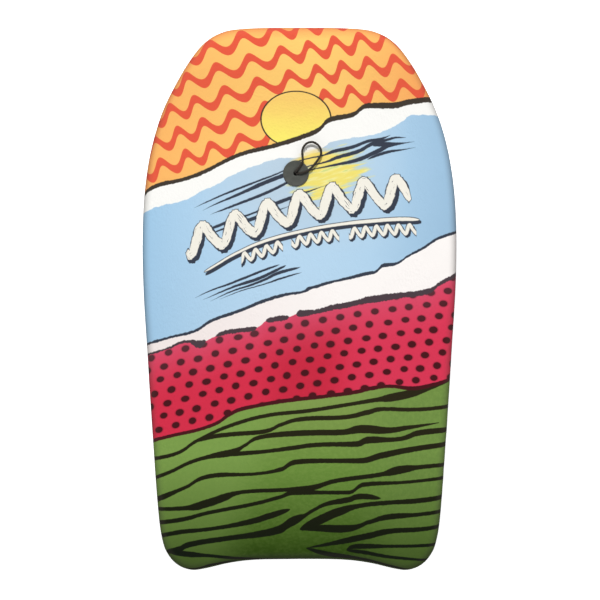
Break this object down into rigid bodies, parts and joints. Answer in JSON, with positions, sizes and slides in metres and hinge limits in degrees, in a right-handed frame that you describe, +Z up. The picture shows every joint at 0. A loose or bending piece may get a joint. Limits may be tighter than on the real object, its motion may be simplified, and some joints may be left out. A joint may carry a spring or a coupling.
{
  "type": "bodyboard",
  "caption": "Foam bodyboard with a printed wrap-around deck, slick bottom, crescent tail, and a leash plug with a swivelling cord loop.",
  "frame": {"origin": "under the middle of the board, on the surface that its flat bottom rests on", "axes": "+Y along the board to the nose, +Z up out of the deck, +X to the right seen from above with the nose away"},
  "size_m": [0.4856, 0.838, 0.0638],
  "materials": {
    "deck_film": "satin printed film with painted bands and wave strokes",
    "deck_foam": "closed-cell polyethylene foam",
    "eps": "moulded expanded polystyrene beads",
    "slick_foam": "closed-cell polyethylene foam",
    "slick": "smooth hard polyethylene sheet with fine scuffs",
    "plug": "moulded, satin",
    "cord": "braided polyester sheath"
  },
  "bodies": {
    "board": {"deck_film": "deck_film", "deck_foam": "deck_foam", "eps_core": "eps", "slick_foam": "slick_foam", "slick": "slick", "leash_plug_top": "plug", "leash_plug_base": "plug"},
    "cord_swivel": {"leash_strand_left": "cord", "leash_strand_right": "cord", "leash_knot": "cord"},
    "cord_loop": {"leash_loop": "cord"}
  },
  "joints": [
    {"name": "loop_swivel", "type": "hinge", "parent": "board", "child": "cord_swivel", "pos_m": [-0.0055, 0.1947, 0.0544], "axis": [0, 0, 1], "continuous": true},
    {"name": "loop_lift", "type": "hinge", "parent": "cord_swivel", "child": "cord_loop", "pos_m": [-0.0055, 0.1947, 0.0544], "axis": [0.7071, -0.7071, 0], "range_deg": [0, 100]}
  ]
}
